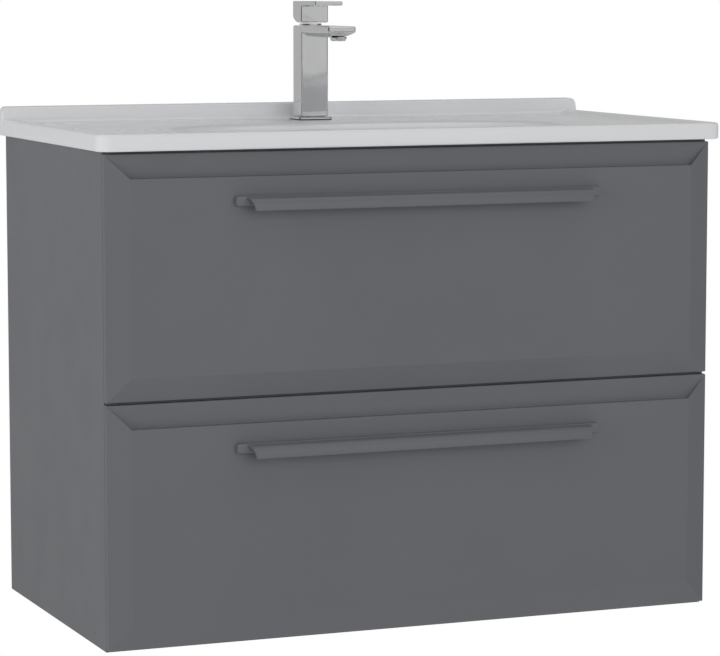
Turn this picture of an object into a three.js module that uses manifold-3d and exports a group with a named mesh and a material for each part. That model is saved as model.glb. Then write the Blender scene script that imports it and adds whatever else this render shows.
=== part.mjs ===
// Wall-hung bathroom vanity: a two-drawer cabinet, a ceramic basin and a single-lever tap.
// Millimetres. +X is to the right, +Y towards the wall, +Z up. Heights below are measured from the
// underside of the cabinet, and the whole group is lowered at the end so that the origin is the
// centre of the upper back rail, on the wall.

import * as THREE from 'three';
import { mergeVertices } from 'three/addons/utils/BufferGeometryUtils.js';
import Module from 'manifold-3d';

const wasm = await Module();
wasm.setup();

// ---------------------------------------------------------------- driving dimensions

const GAP = 0.3; // between pieces that touch

const CABINET = { width: 790, depth: 413, height: 591, board: 18 };
const HALF_WIDTH = CABINET.width / 2;
const INNER_HALF = HALF_WIDTH - CABINET.board;
const CABINET_FRONT = -CABINET.depth;

const BACK_RAIL = { thick: 16, upperLow: 460, upperHigh: 540, lowerHigh: 118 };
const FRONT_RAIL = { thick: 16, low: 536, high: 591 };
const MIDDLE_RAIL = { depth: 60, low: 287, high: 305 };
const ORIGIN_HEIGHT = (BACK_RAIL.upperLow + BACK_RAIL.upperHigh) / 2;

const FRONT = { backY: CABINET_FRONT - 0.4, edgeY: -422, fieldY: -431, bevel: 28.5 };
const UPPER_FRONT = { low: 297.5, high: 588 };
const LOWER_FRONT = { low: 3, high: 294.5 };

const HANDLE = {
  halfLength: 238, barDepth: 6.7, barHeight: 11.5, belowTop: 51.5,
  lipBelowTop: 1.2, lipHalf: 226, lipReach: 16, lipDrop: 15.4, lipThick: 2.2,
  taperOut: 2.5, taperDown: 4.5,
};

const BOX = { board: 16, outerHalf: 364, backY: -63 };
const BOX_INNER_HALF = BOX.outerHalf - BOX.board;
const UPPER_BOX = { low: 312, high: 432 };
const LOWER_BOX = { low: 24, high: 194 };
const TRAP_NOTCH = { half: 58, centreY: -254, liner: 6 };
const BRACKET = { leg: 28, thick: 2.5, height: 40, above: 55 };

const RUNNER = { frontY: -410, backY: -60, upperHeight: 362, lowerHeight: 84 };

const RIM = {
  half: 406, frontY: -437.3, low: 591.3, high: 612, corner: 14, arris: 4,
};
const DECK = { height: 607, lip: 13, slope: 20, backY: -27 };
const UPSTAND = { high: 628, thick: 24, corner: 8, arris: 3 };
const BOWL = { centreY: -269, power: 2.5, points: 56, drainY: -262 };
// Height, half width and half depth of the bowl from its edge down to its floor.
const BOWL_INSIDE = [
  [607.2, 263, 124], [603, 258.5, 119.5], [596, 255, 116.5], [586, 252, 114], [552, 238, 103.5],
  [522, 214, 89], [500, 178, 71], [487, 130, 53], [480, 80, 40], [477.5, 40, 34],
];
const BOWL_OUTSIDE = [
  [598, 266, 126], [586, 262, 124], [552, 248, 113.5], [520, 224, 99], [496, 188, 81],
  [480, 138, 62], [471, 86, 49], [467.5, 48, 42],
];
const BOWL_FLOOR = 477.5;
const BOWL_UNDERSIDE = 467.5;
const OVERFLOW = { height: 569, hole: 8, ring: 13, thick: 2.5, depth: 14, ductHalf: 22 };

const DRAIN = {
  hole: 23, recess: 33, recessDepth: 3, flange: 31.5, throat: 21.5, bore: 18,
  flangeTop: 478.5, throatLow: 455, nut: 32, plug: 27, plugTop: 483.4, stem: 4,
};
const TRAP = {
  outer: 30, inner: 26, low: 330, high: 400, pipe: 16, pipeBore: 13.5, cup: 33.5, cupLow: 302,
  cupHigh: 345, dipLow: 345, armHeight: 372, boss: 20.5, bossY: -218, flange: 35, flangeThick: 11,
};

const TAP = {
  y: -63, half: 19, halfDepth: 15.5, hole: 17.5, baseOver: 4.7, baseThick: 4, bodyTop: 730,
  spoutReach: 97, spoutThick: 8.3, bellyDrop: 5.8, aerator: 11, aeratorDrop: 5, aeratorBack: 14,
};
const TAP_FRONT = TAP.y - TAP.halfDepth;
const TAP_REAR = TAP.y + TAP.halfDepth;
const SPOUT_TIP = TAP_FRONT - TAP.spoutReach;
const NECK = { radius: 14.5, top: 732.3 };
const LEVER = {
  low: 733.5, plateLow: 755.8, top: 761.5, reach: 51, sweepY: -65, sweepRadius: 24.2,
};
const SHANK = { radius: 16, low: 560, nut: 24, nutLow: 579 };

// ---------------------------------------------------------------- materials

function finish(color, roughness, metalness) {
  return new THREE.MeshStandardMaterial({ color, roughness, metalness });
}

const greyLacquer = () => finish(0x66686c, 0.55, 0);
const handlePaint = () => finish(0x66686b, 0.5, 0);
const greyBoard = () => finish(0xb9bbbd, 0.65, 0);
const glazedCeramic = () => finish(0xf1f2f3, 0.12, 0);
const chrome = () => finish(0xd5d7d9, 0.12, 1);
const zincSteel = () => finish(0xb4b7ba, 0.4, 1);
const whitePlastic = () => finish(0xe8e8e6, 0.35, 0);
const greyPlastic = () => finish(0x8d9093, 0.5, 0);

// ---------------------------------------------------------------- shape helpers

// Merges shared corners and drops the triangles that a lathe leaves on its axis.
function weld(geometry) {
  const plain = geometry.clone();
  plain.deleteAttribute('normal');
  plain.deleteAttribute('uv');
  const merged = mergeVertices(plain, 1e-4);
  const kept = [];
  const index = merged.index.array;
  for (let i = 0; i < index.length; i += 3) {
    const [a, b, c] = [index[i], index[i + 1], index[i + 2]];
    if (a !== b && b !== c && c !== a) {
      kept.push(a, b, c);
    }
  }
  merged.setIndex(kept);
  return merged;
}

function toSolid(geometry) {
  const welded = weld(geometry);
  return new wasm.Manifold(new wasm.Mesh({
    numProp: 3,
    vertProperties: new Float32Array(welded.attributes.position.array),
    triVerts: new Uint32Array(welded.index.array),
  }));
}

function toGeometry(solid) {
  const mesh = solid.getMesh();
  const geometry = new THREE.BufferGeometry();
  const corners = new Float32Array((mesh.vertProperties.length / mesh.numProp) * 3);
  for (let i = 0; i < corners.length / 3; i += 1) {
    corners.set(mesh.vertProperties.subarray(i * mesh.numProp, i * mesh.numProp + 3), i * 3);
  }
  geometry.setAttribute('position', new THREE.BufferAttribute(corners, 3));
  geometry.setIndex(Array.from(mesh.triVerts));
  geometry.computeVertexNormals();
  return geometry;
}

function joined(...geometries) {
  return toGeometry(geometries.map(toSolid).reduce((sum, next) => sum.add(next)));
}

function cut(geometry, ...tools) {
  return toGeometry(tools.map(toSolid).reduce((rest, tool) => rest.subtract(tool), toSolid(geometry)));
}

function block([x0, x1], [y0, y1], [z0, z1]) {
  const geometry = new THREE.BoxGeometry(x1 - x0, y1 - y0, z1 - z0);
  return geometry.translate((x0 + x1) / 2, (y0 + y1) / 2, (z0 + z1) / 2);
}

function outline(points) {
  if (points instanceof THREE.Shape) {
    return points;
  }
  return new THREE.Shape(points.map(([a, b]) => new THREE.Vector2(a, b)));
}

const EXTRUDE = { bevelEnabled: false, curveSegments: 10 };

// An outline in (y, z) carried along X.
function alongX(points, x0, x1) {
  const geometry = new THREE.ExtrudeGeometry(outline(points), { ...EXTRUDE, depth: x1 - x0 });
  const turn = new THREE.Matrix4().makeBasis(
    new THREE.Vector3(0, 1, 0), new THREE.Vector3(0, 0, 1), new THREE.Vector3(1, 0, 0),
  );
  return geometry.applyMatrix4(turn).translate(x0, 0, 0);
}

// An outline in (x, z) carried along Y.
function alongY(points, y0, y1, options = {}) {
  const geometry = new THREE.ExtrudeGeometry(outline(points), { ...EXTRUDE, ...options, depth: y1 - y0 });
  return geometry.rotateX(Math.PI / 2).translate(0, y1, 0);
}

// An outline in (x, y) carried along Z.
function alongZ(points, z0, z1) {
  const geometry = new THREE.ExtrudeGeometry(outline(points), { ...EXTRUDE, depth: z1 - z0 });
  return geometry.translate(0, 0, z0);
}

// A profile of (radius, height) turned about Z. It runs anticlockwise, with the axis on its left.
function turned(profile, sides = 24) {
  const points = profile.map(([r, z]) => new THREE.Vector2(r, z));
  return weld(new THREE.LatheGeometry(points, sides)).rotateX(Math.PI / 2);
}

// A ring of square section: inner and outer radius, low and high.
function ring(inner, outer, low, high, sides = 24) {
  return turned([[inner, low], [outer, low], [outer, high], [inner, high], [inner, low]], sides);
}

function rod(radius, low, high, sides = 24) {
  return turned([[0, low], [radius, low], [radius, high], [0, high]], sides);
}

// Turns a shape made about Z so that its +Z points along +Y.
function towardsWall(geometry) {
  return geometry.rotateX(-Math.PI / 2);
}

// A closed skin through rings of equal count, with a flat cap at each end. The rings go downwards
// and each runs anticlockwise seen from above.
function loft(rings) {
  const count = rings[0].length;
  const corners = rings.flat(2);
  const faces = [];
  for (let r = 0; r + 1 < rings.length; r += 1) {
    for (let i = 0; i < count; i += 1) {
      const next = (i + 1) % count;
      const [a, b] = [r * count + i, r * count + next];
      faces.push(a, a + count, b, b, a + count, b + count);
    }
  }
  const last = (rings.length - 1) * count;
  for (let i = 1; i + 1 < count; i += 1) {
    faces.push(0, i, i + 1);
    faces.push(last, last + i + 1, last + i);
  }
  const geometry = new THREE.BufferGeometry();
  geometry.setAttribute('position', new THREE.Float32BufferAttribute(corners, 3));
  geometry.setIndex(faces);
  return geometry;
}

function roundedRectangle(x0, x1, y0, y1, radius) {
  const shape = new THREE.Shape();
  shape.absarc(x1 - radius, y1 - radius, radius, 0, Math.PI / 2);
  shape.absarc(x0 + radius, y1 - radius, radius, Math.PI / 2, Math.PI);
  shape.absarc(x0 + radius, y0 + radius, radius, Math.PI, 1.5 * Math.PI);
  shape.absarc(x1 - radius, y0 + radius, radius, 1.5 * Math.PI, 2 * Math.PI);
  shape.closePath();
  return shape;
}

function roundedRing(x0, x1, y0, y1, radius, height) {
  const points = [];
  const centres = [[x1 - radius, y1 - radius], [x0 + radius, y1 - radius],
    [x0 + radius, y0 + radius], [x1 - radius, y0 + radius]];
  const steps = 4;
  centres.forEach(([cx, cy], corner) => {
    for (let i = 0; i <= steps; i += 1) {
      const angle = (corner + i / steps) * (Math.PI / 2);
      points.push([cx + radius * Math.cos(angle), cy + radius * Math.sin(angle), height]);
    }
  });
  return points;
}

// One level of the bowl: an oval with fuller corners than an ellipse.
function bowlRing([height, halfWidth, halfDepth]) {
  const points = [];
  const power = 2 / BOWL.power;
  for (let i = 0; i < BOWL.points; i += 1) {
    const angle = (i / BOWL.points) * 2 * Math.PI;
    const [c, s] = [Math.cos(angle), Math.sin(angle)];
    const x = halfWidth * Math.sign(c) * Math.abs(c) ** power;
    const y = halfDepth * Math.sign(s) * Math.abs(s) ** power;
    points.push([x, BOWL.centreY + y, height]);
  }
  return points;
}

// ---------------------------------------------------------------- cabinet

const vanity = new THREE.Group();

function add(name, geometry, material) {
  const mesh = new THREE.Mesh(geometry, material);
  mesh.name = name;
  vanity.add(mesh);
}

const SIDES = [['left', -1], ['right', 1]];

// An X range on one side of the cabinet, in rising order.
function sideRange(sign, inner, outer) {
  return sign > 0 ? [inner, outer] : [-outer, -inner];
}

function carcass() {
  const depth = [CABINET_FRONT, 0];
  for (const [side, sign] of SIDES) {
    add(`${side}_side_panel`, block(sideRange(sign, INNER_HALF, HALF_WIDTH), depth, [0, CABINET.height]),
      greyLacquer());
  }
  const between = [-INNER_HALF + GAP, INNER_HALF - GAP];
  const backRail = [-BACK_RAIL.thick, 0];
  const frontRail = [CABINET_FRONT, CABINET_FRONT + FRONT_RAIL.thick];
  add('bottom_panel', block(between, depth, [0, CABINET.board]), greyLacquer());
  const middleRail = [CABINET_FRONT, CABINET_FRONT + MIDDLE_RAIL.depth];
  add('front_top_rail', block(between, frontRail, [FRONT_RAIL.low, FRONT_RAIL.high]), greyLacquer());
  add('front_middle_rail', block(between, middleRail, [MIDDLE_RAIL.low, MIDDLE_RAIL.high]), greyLacquer());
  add('upper_back_rail', block(between, backRail, [BACK_RAIL.upperLow, BACK_RAIL.upperHigh]), greyBoard());
  add('lower_back_rail', block(between, backRail, [CABINET.board + GAP, BACK_RAIL.lowerHigh]), greyBoard());
}

// A concealed hanger screwed to each side panel hooks over the upturned lip of a wall plate.
function wallHangers() {
  const hanger = [[-60, 550], [-13, 550], [-13, 568.5], [-8.5, 568.5], [-8.5, 560.5], [-3.2, 560.5],
    [-3.2, 574], [-13, 574], [-13, 582], [-60, 582]];
  const plate = [[0, 545], [0, 585], [-2.5, 585], [-2.5, 560], [-9, 560], [-9, 568], [-11.5, 568],
    [-11.5, 557.5], [-2.5, 557.5], [-2.5, 545]];
  const hangerWidth = 14;
  const plateWidth = 58;
  for (const [side, sign] of SIDES) {
    const face = INNER_HALF - GAP;
    add(`${side}_wall_hanger`, alongX(hanger, ...sideRange(sign, face - hangerWidth, face)), zincSteel());
    add(`${side}_wall_plate`, alongX(plate, ...sideRange(sign, face - plateWidth, face)), zincSteel());
  }
}

// ---------------------------------------------------------------- basin and drain

function rimSlab() {
  const inset = RIM.arris;
  const shape = roundedRectangle(-RIM.half + inset, RIM.half - inset, RIM.frontY + inset, -inset,
    RIM.corner - inset);
  const geometry = new THREE.ExtrudeGeometry(shape, {
    depth: RIM.high - RIM.low - 2 * inset, curveSegments: 4, bevelEnabled: true, bevelThickness: inset,
    bevelSize: inset, bevelSegments: 2,
  });
  return geometry.translate(0, 0, RIM.low + inset);
}

function upstand() {
  const inset = UPSTAND.arris;
  const low = RIM.low + RIM.arris + 2;
  const shape = roundedRectangle(-RIM.half + inset, RIM.half - inset, low, UPSTAND.high - inset,
    UPSTAND.corner - inset);
  return alongY(shape, -UPSTAND.thick + inset, -inset, {
    curveSegments: 4, bevelEnabled: true, bevelThickness: inset, bevelSize: inset, bevelSegments: 2,
  });
}

function deckDish() {
  const above = RIM.high + 0.05;
  const level = (offset, height) => roundedRing(-RIM.half + offset, RIM.half - offset,
    RIM.frontY + offset, DECK.backY - (offset - DECK.lip) / 2, 10, height);
  return loft([level(DECK.lip, above), level(DECK.lip + DECK.slope, DECK.height)]);
}

// Half depth of the bowl at a height, straight between its levels.
function wallAt(levels, height) {
  const i = levels.findIndex(([z]) => z <= height);
  const [[z0, , d0], [z1, , d1]] = [levels[i - 1], levels[i]];
  return d0 + ((height - z0) / (z1 - z0)) * (d1 - d0);
}

const overflowTilt = Math.atan2(
  wallAt(BOWL_INSIDE, OVERFLOW.height + 10) - wallAt(BOWL_INSIDE, OVERFLOW.height - 10), 20,
);

// Places a shape made about Z on the rear wall of the bowl, its +Z facing forwards and up.
function onOverflow(geometry) {
  const y = BOWL.centreY + wallAt(BOWL_INSIDE, OVERFLOW.height);
  return geometry.rotateX(Math.PI / 2 - overflowTilt).translate(0, y, OVERFLOW.height);
}

// The overflow duct is a rib cast on the outside of the bowl's rear wall.
function overflowDuct() {
  const thick = 12;
  const heights = [595, 580, 552, 520, 497];
  const wall = heights.map((z) => [BOWL.centreY + wallAt(BOWL_OUTSIDE, z), z]);
  const outer = wall.map(([y, z]) => [y + thick, z]);
  const inner = wall.map(([y, z]) => [y - thick / 2, z]).reverse();
  return alongX([...outer, ...inner], -OVERFLOW.ductHalf, OVERFLOW.ductHalf);
}

function basin() {
  const bodyOfBasin = joined(rimSlab(), upstand(), loft(BOWL_OUTSIDE.map(bowlRing)), overflowDuct());
  const drainHole = rod(DRAIN.hole, BOWL_UNDERSIDE - 5, BOWL_FLOOR + 5).translate(0, BOWL.drainY, 0);
  const drainSeat = rod(DRAIN.recess, BOWL_FLOOR - DRAIN.recessDepth, BOWL_FLOOR + 5)
    .translate(0, BOWL.drainY, 0);
  const tapHole = rod(TAP.hole, RIM.low - 5, DECK.height + 5).translate(0, TAP.y, 0);
  const overflowHole = onOverflow(rod(OVERFLOW.hole, -OVERFLOW.depth, 5));
  add('basin', cut(bodyOfBasin, deckDish(), loft(BOWL_INSIDE.map(bowlRing)), drainHole, drainSeat,
    tapHole, overflowHole), glazedCeramic());
  const { hole, ring: outer, thick } = OVERFLOW;
  add('overflow_ring', onOverflow(turned([[hole, GAP], [outer, GAP], [outer, 1], [outer - 1.5, thick],
    [hole + 1, thick], [hole, 1.5], [hole, GAP]])), chrome());
}

function drain() {
  const d = DRAIN;
  const seat = BOWL_FLOOR - d.recessDepth + GAP;
  const atDrain = (geometry) => geometry.translate(0, BOWL.drainY, 0);
  add('drain_flange', atDrain(turned([[d.bore, d.throatLow], [d.throat, d.throatLow], [d.throat, seat],
    [d.flange, seat], [d.flange, d.flangeTop - 1], [d.flange - 2, d.flangeTop], [d.bore + 3, d.flangeTop],
    [d.bore, d.flangeTop - 3], [d.bore, d.throatLow]])), chrome());
  const plugLow = d.flangeTop + GAP;
  const stemLow = d.throatLow + 3;
  add('drain_plug', atDrain(turned([[0, stemLow], [d.stem, stemLow], [d.stem, plugLow], [d.plug, plugLow],
    [d.plug, plugLow + 2.2], [d.plug - 3, plugLow + 3.6], [d.plug - 12, d.plugTop - 0.4],
    [0, d.plugTop]])), chrome());
  add('drain_nut', atDrain(ring(d.throat + GAP, d.nut, d.throatLow, BOWL_UNDERSIDE - GAP)), zincSteel());
  const shoulder = d.throatLow - GAP;
  add('drain_tailpiece', atDrain(turned([[TRAP.pipeBore, TRAP.dipLow], [TRAP.pipe, TRAP.dipLow],
    [TRAP.pipe, shoulder - 26], [d.throat, shoulder - 20], [d.throat, shoulder], [d.bore, shoulder],
    [d.bore, shoulder - 18], [TRAP.pipeBore, shoulder - 26], [TRAP.pipeBore, TRAP.dipLow]])), chrome());
}

// A bottle trap: the tailpiece dips into it and the arm leaves it towards the wall.
function trap() {
  const t = TRAP;
  const atDrain = (geometry) => geometry.translate(0, BOWL.drainY, 0);
  const roof = t.high - 5;
  const shell = turned([[t.inner, t.low], [t.outer, t.low], [t.outer, t.high - 3], [t.outer - 3, t.high],
    [t.pipe + GAP, t.high], [t.pipe + GAP, roof], [t.inner, roof - 4], [t.inner, t.low]]);
  const bossLength = t.bossY - BOWL.drainY;
  const boss = towardsWall(ring(t.pipe + GAP, t.boss, t.inner - 2, bossLength));
  const bore = towardsWall(rod(t.pipe + GAP, t.pipe + 2, bossLength + 5));
  const head = cut(joined(shell, boss.translate(0, 0, t.armHeight)), rod(t.inner, t.low - 1, roof - 4),
    bore.translate(0, 0, t.armHeight));
  add('trap_head', atDrain(head), whitePlastic());
  add('trap_cup', atDrain(turned([[0, t.cupLow], [t.cup - 8, t.cupLow], [t.cup, t.cupLow + 6],
    [t.cup, t.cupHigh], [t.outer + 0.4, t.cupHigh], [t.outer + 0.4, t.low - GAP], [t.inner, t.low - GAP],
    [t.inner, t.cupLow + 8], [t.inner - 6, t.cupLow + 4], [0, t.cupLow + 4]])), whitePlastic());
  const armStart = BOWL.drainY + t.pipe + 8;
  const arm = towardsWall(ring(t.pipeBore, t.pipe, armStart, 0));
  add('trap_arm', arm.translate(0, 0, t.armHeight), whitePlastic());
  const flange = towardsWall(turned([[t.pipe + GAP, -t.flangeThick], [t.pipe + 4, -t.flangeThick],
    [t.flange - 3, -5], [t.flange, -GAP], [t.pipe + GAP, -GAP], [t.pipe + GAP, -t.flangeThick]]));
  add('wall_flange', flange.translate(0, 0, t.armHeight), chrome());
}

// ---------------------------------------------------------------- tap

function spoutBelly() {
  const top = TAP.bodyTop - TAP.spoutThick + 0.5;
  const level = (side, front, back, radius, height) => roundedRing(-TAP.half + side, TAP.half - side,
    SPOUT_TIP + front, TAP_FRONT - back, radius, height);
  return loft([
    level(1, 1, -1, 3, top),
    level(4, 2.5, 5, 5, top - TAP.bellyDrop * 0.55),
    level(7.4, 3.2, 22, 8, top - TAP.bellyDrop),
  ]);
}

function tap() {
  const widthX = [-TAP.half, TAP.half];
  const over = TAP.baseOver;
  const baseLow = DECK.height + GAP;
  const baseTop = DECK.height + TAP.baseThick;
  const base = loft([
    roundedRing(-TAP.half - over + 1.5, TAP.half + over - 1.5, TAP_FRONT - over + 1.5,
      TAP_REAR + over - 1.5, 4, baseTop),
    roundedRing(-TAP.half - over, TAP.half + over, TAP_FRONT - over, TAP_REAR + over, 5, baseTop - 1.5),
    roundedRing(-TAP.half - over, TAP.half + over, TAP_FRONT - over, TAP_REAR + over, 5, baseLow),
  ]);
  add('tap_base_plate', base, chrome());
  const column = block(widthX, [TAP_FRONT, TAP_REAR], [baseTop + GAP, TAP.bodyTop]);
  const spout = block(widthX, [SPOUT_TIP, TAP_REAR], [TAP.bodyTop - TAP.spoutThick, TAP.bodyTop]);
  add('tap_body', joined(column, spout, spoutBelly()), chrome());
  const nozzleTop = TAP.bodyTop - TAP.spoutThick + 0.5 - TAP.bellyDrop - GAP;
  const nozzleLow = nozzleTop - TAP.aeratorDrop;
  const r = TAP.aerator;
  add('tap_aerator', turned([[0, nozzleLow + 2], [r - 4, nozzleLow + 2], [r - 4, nozzleLow],
    [r - 2.2, nozzleLow], [r, nozzleTop - 1.5], [r, nozzleTop], [0, nozzleTop]])
    .translate(0, SPOUT_TIP + TAP.aeratorBack, 0), chrome());
  add('tap_cartridge', rod(NECK.radius, TAP.bodyTop + GAP, NECK.top).translate(0, TAP.y, 0), chrome());
  add('tap_shank', rod(SHANK.radius, SHANK.low, baseLow - GAP).translate(0, TAP.y, 0), zincSteel());
  const hexagon = rod(SHANK.nut, SHANK.nutLow, RIM.low - GAP, 6);
  const nut = cut(hexagon, rod(SHANK.radius + GAP, SHANK.nutLow - 1, RIM.low));
  add('tap_lock_nut', nut.translate(0, TAP.y, 0), zincSteel());
}

// The lever's block is cut away behind in an arc, so that its rear can drop when it is lifted.
function lever() {
  const { low, plateLow, top, reach, sweepY, sweepRadius } = LEVER;
  const tipY = TAP_FRONT - reach;
  const shape = new THREE.Shape();
  shape.moveTo(TAP_REAR, top);
  shape.lineTo(tipY, top);
  shape.lineTo(tipY, plateLow);
  shape.lineTo(TAP_FRONT, plateLow);
  shape.lineTo(TAP_FRONT, low);
  const rearAngle = -Math.acos((TAP_REAR - sweepY) / sweepRadius);
  shape.absarc(sweepY, low + sweepRadius, sweepRadius, -Math.PI / 2, rearAngle);
  shape.closePath();
  add('tap_lever', alongX(shape, -TAP.half, TAP.half), chrome());
}

// ---------------------------------------------------------------- drawers

// A front with a raised field. Its sides and bottom slope back to the thin outer edge, and along
// the top there is a flat recess whose ends are mitred against the slopes.
function drawerFront({ low, high }) {
  const { backY, edgeY, fieldY, bevel } = FRONT;
  const rectangle = (halfWidth, y, z0, z1) => [
    [-halfWidth, y, z0], [halfWidth, y, z0], [halfWidth, y, z1], [-halfWidth, y, z1],
  ];
  const fieldHalf = HALF_WIDTH - bevel;
  const corners = [
    ...rectangle(HALF_WIDTH, backY, low, high),
    ...rectangle(HALF_WIDTH, edgeY, low, high),
    ...rectangle(fieldHalf, fieldY, low + bevel, high - bevel),
    [fieldHalf, edgeY, high - bevel],
    [-fieldHalf, edgeY, high - bevel],
  ];
  const back = [0, 3, 2, 1];
  const edges = [[4, 0, 1, 5], [5, 1, 2, 6], [6, 2, 3, 7], [7, 3, 0, 4]];
  const slopes = [[4, 5, 9, 8], [5, 6, 10, 9], [7, 4, 8, 11]];
  const field = [8, 9, 10, 11];
  const recess = [[10, 12, 13, 11], [13, 12, 6, 7]];
  const mitres = [[6, 12, 10], [7, 11, 13]];
  const faces = [back, ...edges, ...slopes, field, ...recess].flatMap(
    ([a, b, c, d]) => [a, b, c, a, c, d],
  );
  const geometry = new THREE.BufferGeometry();
  geometry.setAttribute('position', new THREE.Float32BufferAttribute(corners.flat(), 3));
  geometry.setIndex([...faces, ...mitres.flat()]);
  return geometry;
}

// One quarter of an oval with full corners, from its top out to its front.
function lipCurve(rootY, lowZ, reach, drop) {
  const steps = 12;
  return Array.from({ length: steps + 1 }, (_, i) => {
    const angle = (Math.PI / 2) * (i / steps);
    return [rootY - reach * Math.sin(angle) ** (2 / 3), lowZ + drop * Math.cos(angle) ** (2 / 3)];
  });
}

// A flat bar screwed to the front, with a thin lip that curves out and down from it. The lip
// narrows as it goes.
function handle(top) {
  const h = HANDLE;
  const barBack = FRONT.fieldY - GAP;
  const barFront = barBack - h.barDepth;
  const bar = block([-h.halfLength, h.halfLength], [barFront, barBack], [top - h.barHeight, top]);
  const lipTop = top - h.lipBelowTop;
  const lipLow = lipTop - h.lipDrop;
  const outer = lipCurve(barFront, lipLow, h.lipReach, h.lipDrop);
  const inner = lipCurve(barFront, lipLow, h.lipReach - h.lipThick, h.lipDrop - h.lipThick);
  const root = [[barFront + 1, lipTop - h.lipThick], [barFront + 1, lipTop]];
  const lip = alongX([...outer, ...inner.reverse(), ...root], -h.lipHalf, h.lipHalf);
  const corners = lip.getAttribute('position');
  for (let i = 0; i < corners.count; i += 1) {
    const out = Math.max(0, (barFront - corners.getY(i)) / h.lipReach);
    const down = (lipTop - corners.getZ(i)) / h.lipDrop;
    const narrower = h.taperOut * out + h.taperDown * down;
    corners.setX(i, corners.getX(i) - Math.sign(corners.getX(i)) * narrower);
  }
  return joined(bar, lip);
}

// Three nested channels. The inner one is screwed to the drawer, and all three are level at rest.
function runner(level, side, sign, height) {
  const members = [
    ['fixed', 0.3, 1.5, 10.5, 22.5],
    ['middle', 2.1, 3.3, 11.3, 20.1],
    ['slide', 12.7, 11.5, 4.2, 17.5],
  ];
  const flange = 1.2;
  for (const [member, webOuter, webInner, edge, half] of members) {
    const at = (distance, z) => [sign * (INNER_HALF - distance), height + z];
    const channel = [at(webOuter, -half), at(edge, -half), at(edge, -half + flange),
      at(webInner, -half + flange), at(webInner, half - flange), at(edge, half - flange),
      at(edge, half), at(webOuter, half)];
    add(`${level}_${side}_runner_${member}`, alongY(channel, RUNNER.frontY, RUNNER.backY), zincSteel());
  }
}

function bracket(sign, low) {
  const outerX = BOX_INNER_HALF - GAP;
  const frontY = FRONT.backY + GAP;
  const at = (inwards, back) => [sign * (outerX - inwards), frontY + back];
  const { leg, thick, height } = BRACKET;
  const angle = [at(0, 0), at(leg, 0), at(leg, thick), at(thick, thick), at(thick, leg), at(0, leg)];
  return alongZ(angle, low, low + height);
}

// The pieces that both drawers have.
function drawer(level, front, box, runnerHeight) {
  add(`${level}_drawer_front`, drawerFront(front), greyLacquer());
  add(`${level}_handle`, handle(front.high - HANDLE.belowTop), handlePaint());
  const depth = [FRONT.backY + GAP, BOX.backY];
  for (const [side, sign] of SIDES) {
    add(`${level}_drawer_${side}_side`, block(sideRange(sign, BOX_INNER_HALF, BOX.outerHalf), depth,
      [box.low, box.high]), greyBoard());
    add(`${level}_${side}_bracket`, bracket(sign, box.low + BRACKET.above), zincSteel());
    runner(level, side, sign, runnerHeight);
  }
}

function upperDrawer() {
  drawer('upper', UPPER_FRONT, UPPER_BOX, RUNNER.upperHeight);
  const { half, centreY, liner } = TRAP_NOTCH;
  const inside = BOX_INNER_HALF - GAP;
  const floorTop = UPPER_BOX.low + BOX.board;
  const frontY = FRONT.backY + GAP;
  const floor = new THREE.Shape();
  floor.moveTo(-inside, frontY);
  floor.lineTo(inside, frontY);
  floor.lineTo(inside, BOX.backY);
  floor.lineTo(half, BOX.backY);
  floor.absarc(0, centreY, half, 0, Math.PI, true);
  floor.lineTo(-half, BOX.backY);
  floor.lineTo(-inside, BOX.backY);
  floor.closePath();
  add('upper_drawer_bottom', alongZ(floor, UPPER_BOX.low, floorTop), greyBoard());
  const wall = new THREE.Shape();
  wall.moveTo(half + liner, BOX.backY);
  wall.absarc(0, centreY, half + liner, 0, Math.PI, true);
  wall.lineTo(-half - liner, BOX.backY);
  wall.lineTo(-half, BOX.backY);
  wall.absarc(0, centreY, half, Math.PI, 0, false);
  wall.lineTo(half, BOX.backY);
  wall.closePath();
  add('upper_drawer_trap_liner', alongZ(wall, floorTop + GAP, UPPER_BOX.high), greyPlastic());
  for (const [side, sign] of SIDES) {
    add(`upper_drawer_${side}_back`, block(sideRange(sign, half + liner + GAP, inside),
      [BOX.backY - BOX.board, BOX.backY], [floorTop + GAP, UPPER_BOX.high]), greyBoard());
  }
}

function lowerDrawer() {
  drawer('lower', LOWER_FRONT, LOWER_BOX, RUNNER.lowerHeight);
  const across = [-BOX_INNER_HALF + GAP, BOX_INNER_HALF - GAP];
  const floorTop = LOWER_BOX.low + BOX.board;
  add('lower_drawer_bottom', block(across, [FRONT.backY + GAP, BOX.backY], [LOWER_BOX.low, floorTop]),
    greyBoard());
  add('lower_drawer_back', block(across, [BOX.backY - BOX.board, BOX.backY],
    [floorTop + GAP, LOWER_BOX.high]), greyBoard());
}

carcass();
wallHangers();
basin();
drain();
trap();
tap();
lever();
upperDrawer();
lowerDrawer();
vanity.position.z = -ORIGIN_HEIGHT;

export default vanity;
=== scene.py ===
"""A wall-hung bathroom vanity: two drawers, a ceramic basin and a single-lever tap.

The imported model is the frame. Panels, drawer boxes and steel parts are its own nodes with eased
edges and materials; the basin, tap, handles, drain and trap are finer pieces that stand for theirs.
"""
import math

import bmesh
import bpy
import numpy as np
from mathutils import Matrix, Vector


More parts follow.
